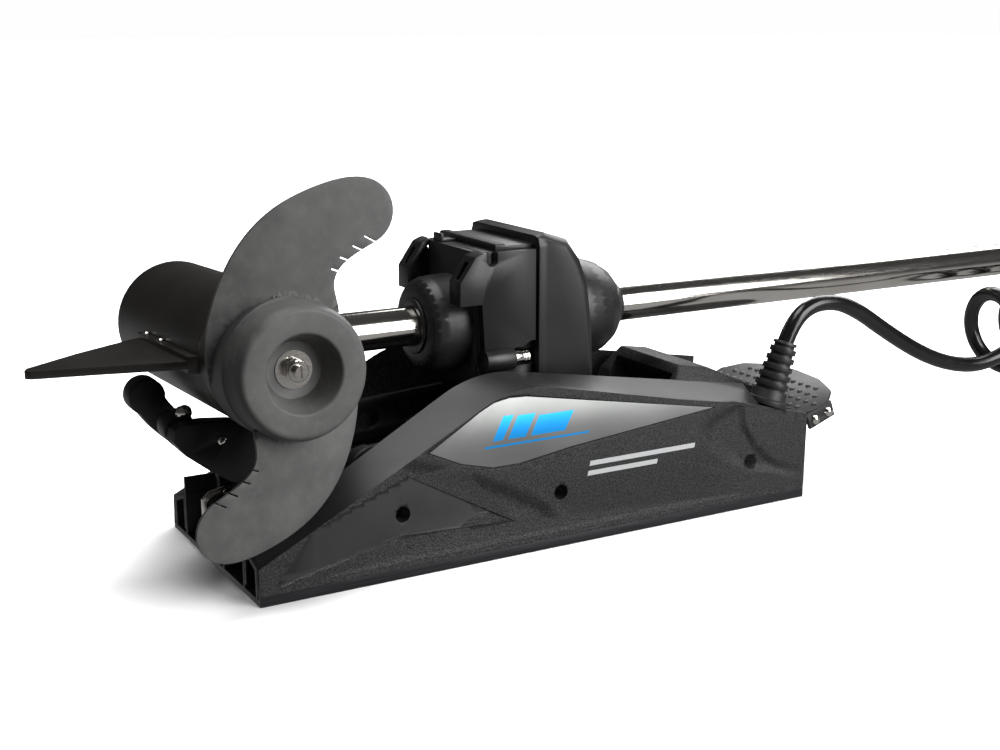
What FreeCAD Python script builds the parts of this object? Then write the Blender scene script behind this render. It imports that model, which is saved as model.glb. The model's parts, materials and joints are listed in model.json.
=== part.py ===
import FreeCAD, Part
import math
import os

# Bow-mount electric trolling motor, stowed. Millimetres. +X runs along the deck plate to its rear,
# +Z is up, -Y is the propeller's side. The origin is the centre of the deck plate's bottom face.

V = FreeCAD.Vector
X, Y, Z = V(1, 0, 0), V(0, 1, 0), V(0, 0, 1)

# ---- driving dimensions ----
BASE_L, BASE_W = 445.0, 175.0        # deck plate
REAR_LEAN = 4.0                      # the covers reach this much further back at their roof
FLOOR_T, TOE_H = 4.0, 7.0            # its floor, and the height where the covers start
WEB_T, WEB_IN_Y, WEB_IN_H = 2.5, 57.0, 46.0
WEB_OUT_Y, WEB_OUT_H = 80.0, 25.0
RIB_Y, RIB_H = 18.0, 12.0
DECK_HOLE_X, DECK_HOLE_Y, DECK_HOLE_R = 170.0, 38.0, 3.5

COVER_WALL, COVER_IN_Y, COVER_DRAFT = 2.6, 62.0, 0.058
SCREW_SPOTS = ((-120.0, 43.0), (2.0, 39.0), (172.0, 35.0))   # x, z of the cover screws

SHAFT_Z, SHAFT_R, SHAFT_WALL = 150.0, 14.0, 1.5
SHAFT_X0, SHAFT_X1 = -150.0, 985.0
MOTOR_X, MOTOR_ROLL = -199.5, 2.5    # where the motor's axis crosses the shaft's, and its roll, degrees
MOTOR_R, MOTOR_WALL = 43.9, 3.0
FIT = 0.05                           # radial clearance of running fits

PIVOT = (-130.0, 68.0)               # x, z of the arms' pivot in the base
HINGE = (25.0, 80.0)                 # x, z of the housing's pin in the arms
ARM_Y, ARM_T = 50.5, 5.0
PIN_R = 6.0

GEAR_MODULE, GEAR_TEETH, PINION_TEETH = 2.0, 30, 12
GEAR_X, GEAR_W = 18.0, 10.0
PINION_Z = SHAFT_Z + GEAR_MODULE * (GEAR_TEETH + PINION_TEETH) / 2 + 0.2

PEDAL_PIN = (234.0, 48.0)            # x, z
HEAD_X0, HEAD_SPLIT, HEAD_X1 = 960.0, 998.0, 1036.0
CORD_D, COIL_OD = 12.5, 80.0


# ---- helpers ----
def box(x0, x1, y0, y1, z0, z1):
    return Part.makeBox(x1 - x0, y1 - y0, z1 - z0, V(x0, y0, z0))


def rod(radius, start, end):
    return Part.makeCylinder(radius, (end - start).Length, start, end - start)


def ring(outer, inner, start, end):
    return rod(outer, start, end).cut(rod(inner, start, end))


def along_y(radius, x, z, y0, y1):
    return rod(radius, V(x, y0, z), V(x, y1, z))


def on_shaft(radius, x0, x1):
    return rod(radius, V(x0, 0, SHAFT_Z), V(x1, 0, SHAFT_Z))


def plate_xz(points, y0, y1):
    """A plate with an outline in x, z between two y values."""
    face = Part.Face(Part.makePolygon([V(x, y0, z) for x, z in points + points[:1]]))
    return face.extrude(V(0, y1 - y0, 0))


def plate_xy(points, z0, z1):
    face = Part.Face(Part.makePolygon([V(x, y, z0) for x, y in points + points[:1]]))
    return face.extrude(V(0, 0, z1 - z0))


def turned(profile, origin, axis, side):
    """A solid turned about an axis, from points (distance along it, radius)."""
    points = [origin + axis * s + side * r for s, r in profile]
    face = Part.Face(Part.makePolygon(points + points[:1]))
    return face.revolve(origin, axis, 360)


def fuse(first, *others):
    return first.multiFuse(list(others)).removeSplitter()


def mirror_y(shape):
    return shape.mirror(V(0, 0, 0), Y)


def filleted(shape, radius, chosen):
    edges = [e for e in shape.Edges if chosen(e)]
    return shape.makeFillet(radius, edges) if edges else shape


def dome_screw(base, axis, head_r, head_h, stem_r, stem_l):
    """A dome-head screw whose head stands on base and points along axis."""
    side = axis.cross(V(0.3, 0.5, 0.8)).normalize()
    arc = [(head_h * math.sin(a), head_r * math.cos(a)) for a in (0.0, 0.5, 1.0, 1.35)]
    profile = [(-stem_l, 0), (-stem_l, stem_r), (0, stem_r)] + arc + [(head_h, 0)]
    return turned(profile, base, axis, side)


# ---- deck plate ----
def base_extrusion():
    x0, x1, half = -BASE_L / 2, BASE_L / 2, BASE_W / 2
    pieces = [box(x0, x1, -half, half, 0, FLOOR_T)]
    for side in (-1, 1):
        for inner, thick, top in ((half - 3, 3, TOE_H), (WEB_OUT_Y, WEB_T, WEB_OUT_H),
                                  (WEB_IN_Y, WEB_T, WEB_IN_H), (RIB_Y, WEB_T, RIB_H)):
            y0, y1 = sorted((side * inner, side * (inner + thick)))
            pieces.append(box(x0, x1, y0, y1, FLOOR_T - 1, top))
    plate = fuse(*pieces)
    for x in (-DECK_HOLE_X, DECK_HOLE_X):
        for y in (-DECK_HOLE_Y, DECK_HOLE_Y):
            plate = plate.cut(rod(DECK_HOLE_R, V(x, y, -1), V(x, y, FLOOR_T + 1)))
    for x, z in SCREW_SPOTS:
        plate = plate.cut(along_y(2.0, x, z, -WEB_IN_Y - 4, -WEB_IN_Y + 1))
        plate = plate.cut(along_y(2.0, x, z, WEB_IN_Y - 1, WEB_IN_Y + 4))
    return plate


# ---- side covers ----
# Each roof line is a ramp up from the front, a rounded crest and a long fall to the rear.
ROOF_IN = dict(front=33.0, crest=(-51.8, 128.0), rear=81.8, ease=30.0)
ROOF_OUT = dict(front=24.7, crest=(-25.7, 118.0), rear=64.0, ease=30.0)
SEAT = ((165.0, 81.5), (225.8, 65.6))          # the cord's seat, x, z of its two ends
PANEL = [(-100, 82), (-61, 104.5), (-50, 109.5), (-38, 111.5), (-24, 110.8), (136, 82), (10, 70.5),
         (-31, 65), (-52, 65), (-76, 71)]
TRIANGLE = [(-212, 12), (-185, 43), (-115, 68), (-35, 24), (-121, 29)]


def roof_wire(roof, y, drop, inset):
    """The cover's side outline at one y, dropped by some height and drawn in at both ends."""
    x0, x1 = -BASE_L / 2 + inset, BASE_L / 2 - inset
    a = V(-BASE_L / 2, y, roof["front"] - drop)
    c = V(roof["crest"][0], y, roof["crest"][1] - drop)
    b = V(BASE_L / 2 + REAR_LEAN, y, roof["rear"] - drop)
    front, rear = (a - c).normalize(), (b - c).normalize()
    p, q = c + front * roof["ease"], c + rear * roof["ease"]
    a, b = a - front * (inset / -front.x), b - rear * (inset / rear.x)
    middle = (front + rear).normalize()
    half = front.getAngle(rear) / 2
    reach = roof["ease"] / math.cos(half)
    radius = roof["ease"] * math.tan(half)
    top = c + middle * (reach - radius)
    low = TOE_H if inset == 0 else TOE_H - 2
    edges = [Part.makeLine(V(x0, y, low), a), Part.makeLine(a, p), Part.Arc(p, top, q).toShape(),
             Part.makeLine(q, b), Part.makeLine(b, V(x1, y, low)),
             Part.makeLine(V(x1, y, low), V(x0, y, low))]
    return Part.Wire(edges)


def leaning(depth0, depth1):
    """The slab of the cover's leaning outer wall between two depths below its face."""
    def y_at(z, depth):
        return -BASE_W / 2 + (z - TOE_H) * COVER_DRAFT + depth
    z0, z1 = -20.0, 180.0
    points = [V(-300, y_at(z0, depth0), z0), V(-300, y_at(z1, depth0), z1),
              V(-300, y_at(z1, depth1), z1), V(-300, y_at(z0, depth1), z0)]
    return Part.Face(Part.makePolygon(points + points[:1])).extrude(V(600, 0, 0))


def grown(points, by):
    """An outline moved out from its centre by about this much."""
    cx = sum(p[0] for p in points) / len(points)
    cz = sum(p[1] for p in points) / len(points)
    out = []
    for x, z in points:
        reach = math.hypot(x - cx, z - cz)
        out.append((cx + (x - cx) * (1 + by / reach), cz + (z - cz) * (1 + by / reach)))
    return out


def cover_shell(with_seat):
    """A side cover: thin walls, open below, with a window in its front end."""
    outer = Part.makeLoft([roof_wire(ROOF_OUT, -BASE_W / 2, 0, 0),
                           roof_wire(ROOF_IN, -60.0, -0.6, 0)], True, True)
    inner = Part.makeLoft([roof_wire(ROOF_OUT, -BASE_W / 2, 3.2, COVER_WALL),
                           roof_wire(ROOF_IN, -COVER_IN_Y - 0.6, 3.0, COVER_WALL)], True, True)
    shell = outer.common(leaning(0, 60)).cut(inner.common(leaning(COVER_WALL, 60)))
    front = [V(-224, -79.5, 0), V(-224, -79.5, 22.5), V(-224, -62.7, 29), V(-224, -62.7, 0)]
    shell = shell.cut(Part.Face(Part.makePolygon(front + front[:1])).extrude(X * 6))
    if with_seat:
        (ax, az), (bx, bz) = SEAT
        block = plate_xz([(ax, 46.4), (ax, az), (bx, bz), (bx - 1.3, 46.4)], -BASE_W / 2, -56.0)
        above = plate_xz([(ax + 16, az - 4.1), (ax + 16, 120), (bx + 1, 120), (bx + 1, bz - 0.2)], -100, -50)
        shell = fuse(shell, block.common(leaning(0, 60))).cut(above)
    for x, z in SCREW_SPOTS:
        shell = fuse(shell, along_y(8.0, x, z, -84.0, -61.0).common(leaning(0.5, 60)))
        shell = shell.cut(along_y(5.5, x, z, -95, -70)).cut(along_y(2.05, x, z, -75, -55))
    shell = shell.cut(plate_xz(grown(PANEL, 0.9), -100, -60).common(leaning(-1, 1.3)))
    return shell.cut(plate_xz(TRIANGLE, -100, -60).common(leaning(-1, 0.7)))


def badge_panel():
    return plate_xz(PANEL, -100, -60).common(leaning(0.25, 1.3))


def cover_screws():
    out = []
    for x, z in SCREW_SPOTS:
        screw = dome_screw(V(x, -70, z), -Y, 4.4, 2.6, 2.0, 13)
        out += [screw, mirror_y(screw)]
    return Part.makeCompound(out)


def rear_cover():
    """The faceted cover between the side covers, open below and in front."""
    side = [(122, 62), (124, 88), (136, 105.5), (162, 101), (221, 73), (221, 50), (122, 50)]
    solid = plate_xz(side, -54, 54)
    for s in (-1, 1):
        cut = [V(100, s * 60, 70), V(100, s * 60, 130), V(100, s * 22, 130), V(100, s * 40, 104)]
        solid = solid.cut(Part.Face(Part.makePolygon(cut + cut[:1])).extrude(V(140, 0, 0)))
    hollow = plate_xz([(110, 40), (110, 86), (134, 100), (160, 96), (217.5, 69), (217.5, 40)], -37, 37)
    return solid.cut(hollow)


# ---- motor rest ----
REST_C, REST_IN, REST_OUT = (-188.0, 148.0), 64.0, 84.0


def crescent(y0, y1, start, end, bulb):
    """A saddle lobe: an arc band about the motor with round ends."""
    cx, cz = REST_C
    band = along_y(REST_OUT, cx, cz, y0, y1).cut(along_y(REST_IN, cx, cz, y0 - 1, y1 + 1))
    a, b = math.radians(start), math.radians(end)
    mid = (a + b) / 2
    far = 3 * REST_OUT
    wedge = [(cx, cz), (cx + far * math.cos(a), cz + far * math.sin(a)),
             (cx + far * math.cos(mid), cz + far * math.sin(mid)),
             (cx + far * math.cos(b), cz + far * math.sin(b))]
    band = band.common(plate_xz(wedge, y0, y1))
    mean = (REST_IN + REST_OUT) / 2
    ends = [along_y(bulb, cx + mean * math.cos(t), cz + mean * math.sin(t), y0, y1) for t in (a, b)]
    return fuse(band, *ends)


SADDLE = [(-252, 111), (-234, 110.5), (-216, 108.5), (-204, 103.5), (-192, 101), (-176, 103), (-160, 112),
          (-150, 122), (-143, 118), (-150, 103), (-166, 86), (-186, 72), (-204, 64), (-220, 69), (-235, 79),
          (-250, 91), (-257.5, 101), (-256, 108)]


def rest_saddle():
    """The near cushion: a broad lobe, and a narrow one with a round end behind it."""
    return fuse(plate_xz(SADDLE, -38, -22), crescent(-22, -6, 216, 300, 10.5))


def rest_hook():
    return crescent(24, 40, 205.5, 323, 12.5)


def rest_bracket():
    plate = box(-212, -162, -46, 46, RIB_H, RIB_H + 3)
    posts = []
    for y0, y1 in ((-34, -26), (28, 36)):
        posts.append(box(-207, -168, y0, y1, RIB_H + 2, 72).cut(along_y(REST_OUT, *REST_C, y0 - 1, y1 + 1)))
    tie = box(-204, -171, -34, 36, 40, 44)
    pillar = box(-191, -168, 0, 22, 43, 103)
    return fuse(plate, tie, pillar, *posts)


def rest_screws():
    screws = [dome_screw(V(-245, -22, 115), -Y, 5.5, 3.6, 2.5, 9)]
    screws.append(dome_screw(V(-226, -38, 98), -Y, 3.2, 1.8, 2.0, 9))
    screws += [dome_screw(V(-187, y, RIB_H + 3), Z, 4.5, 2.6, 2.0, 2.9) for y in (-42, 42)]
    return Part.makeCompound(screws)


def latch_hooks():
    side = [(-226, 12), (-226, 44), (-221, 48.5), (-200, 53), (-191, 52), (-191, 47), (-211, 43), (-217, 39),
            (-218, 30), (-206, 24), (-198, 12)]
    hook = plate_xz(side, 9, 11.5).cut(along_y(2.2, -213, 20, 0, 20))
    return Part.makeCompound([hook, mirror_y(hook)])


# ---- arms ----
def slot_plate(a, b, ra, rb, y0, y1):
    """A plate with a round end about each of two points, x and z."""
    dx, dz = b[0] - a[0], b[1] - a[1]
    length = math.hypot(dx, dz)
    base, turn = math.atan2(dz, dx), math.acos((ra - rb) / length)
    points = []
    for (px, pz), r, way in ((a, ra, 1), (a, ra, -1), (b, rb, -1), (b, rb, 1)):
        at = base + way * turn
        points.append((px + r * math.cos(at), pz + r * math.sin(at)))
    body = plate_xz(points, y0, y1)
    return fuse(body, along_y(ra, *a, y0, y1), along_y(rb, *b, y0, y1))


def swing_arm_near():
    arm = slot_plate(PIVOT, HINGE, 16, 14, -ARM_Y - ARM_T, -ARM_Y)
    for x, z, r in ((-82, 71.7, 8), (-52, 74, 8), (-22, 76.4, 8)):
        arm = arm.cut(along_y(r, x, z, -ARM_Y - ARM_T - 1, -ARM_Y + 1))
    return arm.cut(along_y(8, *PIVOT, -60, -40)).cut(along_y(PIN_R, *HINGE, -60, -40))


def arm_bushes():
    bush = fuse(along_y(8, *PIVOT, -ARM_Y - ARM_T, -ARM_Y), along_y(10, *PIVOT, -ARM_Y, -ARM_Y + 1.5))
    bush = bush.cut(along_y(PIN_R + FIT, *PIVOT, -60, -40))
    return Part.makeCompound([bush, mirror_y(bush)])


def pivot_shaft():
    bar = along_y(PIN_R, *PIVOT, -57, 57)
    caps = [along_y(9, *PIVOT, y, y + 2) for y in (-58, 56)]
    return fuse(bar, *caps)


def pivot_brackets():
    x, z = PIVOT
    ear = fuse(box(x - 20, x + 20, -47, -42, FLOOR_T, z), along_y(14, x, z, -47, -42),
               box(x - 20, x + 20, -47, -28, FLOOR_T, FLOOR_T + 4))
    ear = ear.cut(along_y(PIN_R, *PIVOT, -60, -30))
    return Part.makeCompound([ear, mirror_y(ear)])


def housing_pin():
    bar = along_y(PIN_R, *HINGE, -ARM_Y - ARM_T - 1, ARM_Y + ARM_T + 1)
    caps = [along_y(8.5, *HINGE, y, y + 2) for y in (-ARM_Y - ARM_T - 2, ARM_Y + ARM_T)]
    return fuse(bar, *caps)


# ---- steering housing ----
BODY_X0, BODY_X1, BODY_HALF, BODY_Z0, BODY_Z1 = -40.0, 5.0, 41.5, 97.0, 205.0
SLEEVE_R, SLEEVE_X0, SLEEVE_X1 = 17.5, -47.0, 86.0
PLUNGER_Y, PLUNGER_Z, PLUNGER_R = -45.0, 129.5, 6.0
STEER_MOTOR_R = 11.0


def housing_body():
    """The front casting: a round nose on the shaft and a block behind it."""
    nose = [(-69, 18), (-69, 24), (-68, 28.5), (-65, 32), (-60, 34), (-50, 35), (-38, 35), (-38, 18)]
    axis_at = V(0, 0, SHAFT_Z)
    block = box(BODY_X0, BODY_X1, -BODY_HALF, BODY_HALF, BODY_Z0, BODY_Z1)
    block = filleted(block, 12, lambda e: e.BoundBox.XMax < BODY_X0 + 1 and e.BoundBox.ZMin < BODY_Z1 - 1)
    boss = rod(8.2, V(-38, PLUNGER_Y, PLUNGER_Z), V(-15, PLUNGER_Y, PLUNGER_Z))
    body = fuse(block, turned(nose, axis_at, X, Z), boss)
    body = body.cut(on_shaft(SLEEVE_R + FIT, -49, BODY_X1 + 1)).cut(on_shaft(18, -70, -49))
    body = body.cut(rod(STEER_MOTOR_R, V(-38, 0, PINION_Z), V(BODY_X1 + 1, 0, PINION_Z)))
    return body.cut(rod(PLUNGER_R + FIT, V(-34, PLUNGER_Y, PLUNGER_Z), V(6, PLUNGER_Y, PLUNGER_Z)))


def side_plate_near():
    """A flat plate with a notch in its top and a slotted flange turned in along its front edge."""
    outline = [(-57, 170), (-57, 186), (-45, 203), (-39, 205.5), (3, 205.5), (3, 141), (-1, 141), (-7, 137.2),
               (-38, 137.2), (-40, 170)]
    plate = plate_xz(outline, -48, -BODY_HALF)
    plate = plate.cut(along_y(4.2, -32, 200, -50, -40)).cut(box(-36.2, -27.8, -50, -40, 200, 210))
    flange = plate_xz([(-57, 170), (-57, 186), (-45, 203), (-38, 205.5), (-38, 202), (-43, 200), (-53.5, 185),
                       (-53.5, 170)], -48, -32)
    along = V(12, 0, 17).normalize()
    start, across = V(-55, -40, 187.5), V(17, 0, -12)
    slot = Part.makePolygon([start - Y * 2.6, start + Y * 2.6, start + Y * 2.6 + along * 14,
                             start - Y * 2.6 + along * 14, start - Y * 2.6])
    slot = Part.Face(slot).extrude(across * 0.4)
    slot.translate(across * -0.2)
    return fuse(plate, flange).cut(slot)


def top_plate():
    """The lid: a raised lip in front and a smooth top, with a small upright tab before it."""
    lid = box(-21, BODY_X1, -BODY_HALF, BODY_HALF, BODY_Z1, 208.5)
    lid = filleted(lid, 1.5, lambda e: e.BoundBox.ZMin > 208 and e.BoundBox.XMax < BODY_X1 - 0.1)
    lip = filleted(box(-26, -18, -BODY_HALF, BODY_HALF, BODY_Z1, 210), 1.5, lambda e: e.BoundBox.ZMin > 209)
    tab = box(-38, -26, 16, 28, BODY_Z1, BODY_Z1 + 2).fuse(box(-38, -36, 16, 28, BODY_Z1, 211))
    return fuse(lid, lip, tab)


def gear_cavity(x0, x1):
    wheel = on_shaft(GEAR_MODULE * (GEAR_TEETH / 2 + 1) + 1.5, x0, x1)
    pinion = rod(GEAR_MODULE * (PINION_TEETH / 2 + 1) + 1.5, V(x0, 0, PINION_Z), V(x1, 0, PINION_Z))
    return wheel.fuse(pinion)


def rear_cap():
    side = [(BODY_X1, 97), (BODY_X1, 213), (14, 215.5), (31, 210), (42, 195), (49, 178), (51, 162), (51, 97)]
    cap = plate_xz(side, -48, 48)
    cap = filleted(cap, 8, lambda e: abs(e.tangentAt(e.FirstParameter).y) < 0.2 and e.BoundBox.XMin > 6
                   and e.BoundBox.XMin < 50.5)
    rim = box(BODY_X1, 12, -49.2, 49.2, 97, 214)
    rim = filleted(rim, 8, lambda e: abs(e.tangentAt(e.FirstParameter).x) > 0.9 and e.BoundBox.ZMax > 200)
    lugs = []
    for y0 in (-46, 40):
        lug = fuse(box(HINGE[0] - 14, HINGE[0] + 14, y0, y0 + 6, HINGE[1], 98), along_y(14, *HINGE, y0, y0 + 6))
        lugs.append(lug.cut(along_y(PIN_R + FIT, *HINGE, y0 - 1, y0 + 7)))
    cap = fuse(cap, rim, *lugs)
    return cap.cut(gear_cavity(BODY_X1 - 1, 46)).cut(on_shaft(SLEEVE_R + FIT, 40, 60))


def rear_dome():
    profile = [(51, SLEEVE_R + FIT), (51, 39), (60, 38.6), (70, 37), (80, 34), (88, 29), (93, 23.5), (95, 20),
               (95, 17), (86, 17), (86, SLEEVE_R + FIT)]
    return turned(profile, V(0, 0, SHAFT_Z), X, Z)


def front_bush():
    bush = on_shaft(18, -70, -49).fuse(on_shaft(20.0, -70.5, -69)).cut(on_shaft(SHAFT_R + FIT, -72, -48))
    return bush.removeSplitter()


def rear_bush():
    return on_shaft(17, 86, 100).cut(on_shaft(SHAFT_R + FIT, 85, 101))


def housing_screws():
    return Part.makeCompound([dome_screw(V(51, y, 104), X, 4.2, 2.6, 2.2, 4) for y in (-36, 36)])


def steering_motor():
    can = rod(STEER_MOTOR_R, V(-36, 0, PINION_Z), V(2, 0, PINION_Z))
    return can.cut(rod(2.5 + FIT, V(-20, 0, PINION_Z), V(3, 0, PINION_Z)))


def latch_plunger():
    pin = rod(PLUNGER_R, V(-27, PLUNGER_Y, PLUNGER_Z), V(-3, PLUNGER_Y, PLUNGER_Z))
    for x in (-8.2, -5.6):
        ends = V(x, PLUNGER_Y, PLUNGER_Z), V(x + 1, PLUNGER_Y, PLUNGER_Z)
        pin = pin.cut(ring(PLUNGER_R + 1, PLUNGER_R - 0.6, *ends))
    return pin


def gear_outline(teeth, turn, thin):
    """Involute teeth, 20 degrees, thinned for backlash, as points y, z about the gear's centre."""
    pitch = GEAR_MODULE * teeth / 2
    base, tip, root = pitch * math.cos(math.radians(20)), pitch + 0.9 * GEAR_MODULE, pitch - 1.2 * GEAR_MODULE

    def spread(r):
        a = math.acos(min(1.0, base / r))
        return math.tan(a) - a
    half = math.pi / 2 / teeth - thin / pitch + spread(pitch)
    points = []
    for k in range(teeth):
        c = turn + 2 * math.pi * k / teeth
        radii = [max(base, root) + (tip - max(base, root)) * i / 4 for i in range(5)]
        left = [(root, -half)] * (root < base) + [(r, -half + spread(r)) for r in radii]
        for r, t in left + [(r, -t) for r, t in reversed(left)]:
            points.append((r * math.cos(c + t), r * math.sin(c + t)))
    return points


def gear(teeth, turn, centre_z, x0, x1):
    points = [V(x0, y, centre_z + z) for y, z in gear_outline(teeth, turn, 0.12)]
    return Part.Face(Part.makePolygon(points + points[:1])).extrude(V(x1 - x0, 0, 0))


def steering_gear():
    """A tooth gap of the wheel points up, at the pinion's lowest tooth."""
    turn = math.pi / 2 + math.pi / GEAR_TEETH
    return gear(GEAR_TEETH, turn, SHAFT_Z, GEAR_X, GEAR_X + GEAR_W).cut(on_shaft(SLEEVE_R, 0, 60))


def steering_pinion():
    wheel = gear(PINION_TEETH, -math.pi / 2, PINION_Z, GEAR_X - 1, GEAR_X + GEAR_W + 1)
    return fuse(wheel, rod(2.5, V(-18, 0, PINION_Z), V(GEAR_X + GEAR_W + 3, 0, PINION_Z)))


def drive_sleeve():
    return on_shaft(SLEEVE_R, SLEEVE_X0, SLEEVE_X1).cut(on_shaft(SHAFT_R + FIT, -60, 120))


# ---- shaft, motor and head ----
ROLL = math.radians(MOTOR_ROLL)
MOTOR_AT = V(MOTOR_X, 0, SHAFT_Z)
OUT = V(0, -math.cos(ROLL), math.sin(ROLL))     # along the motor to the propeller
OVER = V(0, math.sin(ROLL), math.cos(ROLL))     # up, square to OUT and X
CASE_S0, CASE_S1, NOSE_S, CAP_S = -120.0, 48.0, -143.0, 72.0
HUB_S0, HUB_STEP, HUB_S1 = 73.6, 98.0, 118.2


def on_motor(radius, s0, s1):
    return rod(radius, MOTOR_AT + OUT * s0, MOTOR_AT + OUT * s1)


def shaft_tube():
    return on_shaft(SHAFT_R, SHAFT_X0, SHAFT_X1).cut(on_shaft(SHAFT_R - SHAFT_WALL, SHAFT_X0 - 1, SHAFT_X1 + 1))


def shaft_socket():
    collar = [(-175, 0), (-175, 21), (-156, 21), (-148, 18.5), (-130, 17.5), (-128, 16.5), (-128, 0)]
    socket = turned(collar, V(0, 0, SHAFT_Z), X, Z)
    socket = socket.cut(on_motor(MOTOR_R, -200, 200)).cut(on_shaft(SHAFT_R, SHAFT_X0, -100))
    return socket.cut(on_shaft(8, -200, -100))


def motor_case():
    case = on_motor(MOTOR_R, CASE_S0, CASE_S1).cut(on_motor(MOTOR_R - MOTOR_WALL, CASE_S0 - 1, CASE_S1 + 1))
    return case.cut(on_shaft(8, -175, -100))


def motor_nose():
    profile = [(CASE_S0, MOTOR_R), (-130, MOTOR_R), (-134, 42.6), (-138, 38), (-141, 29), (NOSE_S, 15),
               (NOSE_S, 0), (-126, 0), (-126, 16), (CASE_S0, 16)]
    return turned(profile, MOTOR_AT, OUT, OVER)


def motor_end_cap():
    profile = [(CASE_S1, 16), (CASE_S1, MOTOR_R), (68, MOTOR_R), (CAP_S, 41), (CAP_S, PIN_R + FIT),
               (60, PIN_R + FIT),
               (60, 16)]
    return turned(profile, MOTOR_AT, OUT, OVER)


def motor_bearings():
    rings = [(-126, -116), (50, 60)]
    return Part.makeCompound([on_motor(16, a, b).cut(on_motor(PIN_R + FIT, a - 1, b + 1)) for a, b in rings])


def field_magnets():
    tube = on_motor(MOTOR_R - MOTOR_WALL, -75, 22).cut(on_motor(35.5, -80, 30))
    gap = box(MOTOR_X - 60, MOTOR_X + 60, -150, 150, SHAFT_Z - 9, SHAFT_Z + 9)
    return tube.cut(gap.rotated(V(0, 0, SHAFT_Z), X, -MOTOR_ROLL))


def skeg():
    outline = [(-236, -64), (-258, -52), (-300, -22), (-338, 10), (-341, 18), (-338, 22), (-300, 32),
               (-262, 44), (-236, 50)]
    low = MOTOR_AT - X * MOTOR_X - OVER * 2.5
    points = [low + X * x + OUT * s for x, s in outline]
    fin = Part.Face(Part.makePolygon(points + points[:1])).extrude(OVER * 5)
    foot = [low - OVER * 3 + X * x + OUT * s for x, s in ((-236, -66), (-249, -62), (-249, 48), (-236, 54))]
    foot = Part.Face(Part.makePolygon(foot + foot[:1])).extrude(OVER * 11)
    return fuse(fin, foot).cut(on_motor(MOTOR_R, -200, 200))


def skeg_screws():
    spots = [MOTOR_AT + X * -46.2 + OUT * s + OVER * 5.5 for s in (-50, -18)]
    return Part.makeCompound([dome_screw(p, OVER, 3.0, 2.2, 1.5, 4) for p in spots])


def head_half(x0, x1, wall_x):
    """One half of the control head, a rounded box open on its inner side."""
    outer = filleted(box(x0, x1, -58, 58, 82, 218), 24, lambda e: abs(e.tangentAt(e.FirstParameter).x) > 0.9)
    end = x0 if wall_x < 0 else x1
    outer = filleted(outer, 9, lambda e: abs(e.BoundBox.XMin - end) < 0.1 and abs(e.BoundBox.XMax - end) < 0.1)
    cavity = filleted(box(x0 + (3 if wall_x < 0 else -5), x1 + (5 if wall_x < 0 else -3), -55, 55, 85, 215), 21,
                      lambda e: abs(e.tangentAt(e.FirstParameter).x) > 0.9)
    return outer.cut(cavity)


def head_lower():
    neck = on_shaft(20, HEAD_X0 - 22, HEAD_X0 + 26)
    gland = rod(8.5, V(HEAD_X0 - 0.4, -40, 122), V(HEAD_X0 + 6, -40, 122))
    half = fuse(head_half(HEAD_X0, HEAD_SPLIT, -1), neck, gland)
    return half.cut(on_shaft(SHAFT_R, HEAD_X0 - 30, HEAD_X0 + 40))


def head_upper():
    return head_half(HEAD_SPLIT, HEAD_X1, 1).cut(rod(16, V(HEAD_X1 - 6, 0, 190), V(HEAD_X1 + 1, 0, 190)))


def head_lens():
    disc = rod(16, V(HEAD_X1 - 3, 0, 190), V(HEAD_X1, 0, 190))
    return fuse(disc, rod(15, V(HEAD_X1, 0, 190), V(HEAD_X1 + 2, 0, 190)))


def head_board():
    board = box(HEAD_X0 + 27, HEAD_X0 + 29, -46, 46, 96, 204)
    posts = [rod(3, V(HEAD_X0 + 3, y, z), V(HEAD_X0 + 27, y, z)) for y in (-38, 38) for z in (104, 196)]
    return fuse(board, *posts)


# ---- propeller ----
# Each blade lies on a slow screw surface. The outline, as radius and angle, runs from the root of the
# leading edge round the tip and back down the trailing edge.
BLADE = [(44, 197), (46.5, 180), (52, 160), (59.5, 140), (69, 124.5), (81, 110.5), (97, 94), (111, 79.5),
         (120, 71), (125, 63), (121, 56.5), (112, 52.8), (99, 51.8), (87, 55), (75, 59.5), (66, 62), (57, 61),
         (50, 55.5), (44, 49)]
BLADE_S, BLADE_FALL, BLADE_T = 102.5, 0.2, 2.8   # s at 55 degrees, its fall per degree, thickness
SLITS = [(65.5, 61.6), (74.1, 59.6), (83.7, 56.3), (92.4, 53.8)]


def blade_point(r, degrees, s):
    a = math.radians(degrees)
    return MOTOR_AT + X * (r * math.cos(a)) + OVER * (r * math.sin(a)) + OUT * s


def blade():
    sections = []
    for degrees in range(20, 216, 15):
        s = BLADE_S - BLADE_FALL * (degrees - 55)
        s0, s1 = s - BLADE_T / 2, s + BLADE_T / 2
        corners = [blade_point(r, degrees, at) for r, at in ((30, s0), (135, s0), (135, s1), (30, s1))]
        sections.append(Part.makePolygon(corners + corners[:1]))
    sheet = Part.makeLoft(sections, True, False)
    curve = Part.BSplineCurve()
    curve.interpolate([blade_point(r, a, 60) for r, a in BLADE])
    inner = [blade_point(BLADE[-1][0], BLADE[-1][1], 60), blade_point(38, 60, 60), blade_point(38, 123, 60),
             blade_point(38, 185, 60), blade_point(BLADE[0][0], BLADE[0][1], 60)]
    wire = Part.Wire([curve.toShape()] + Part.makePolygon(inner).Edges)
    solid = sheet.common(Part.Face(wire).extrude(OUT * 60))
    for r, a in SLITS:
        start, end = blade_point(r + 0.4, a - 3, 60), blade_point(r - 0.6, a + 4.2, 60)
        line = end - start
        side = line.cross(OUT).normalize() * 0.5
        points = [start - side, start + side, end + side, end - side]
        solid = solid.cut(Part.Face(Part.makePolygon(points + points[:1])).extrude(OUT * 60))
    return solid


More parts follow.
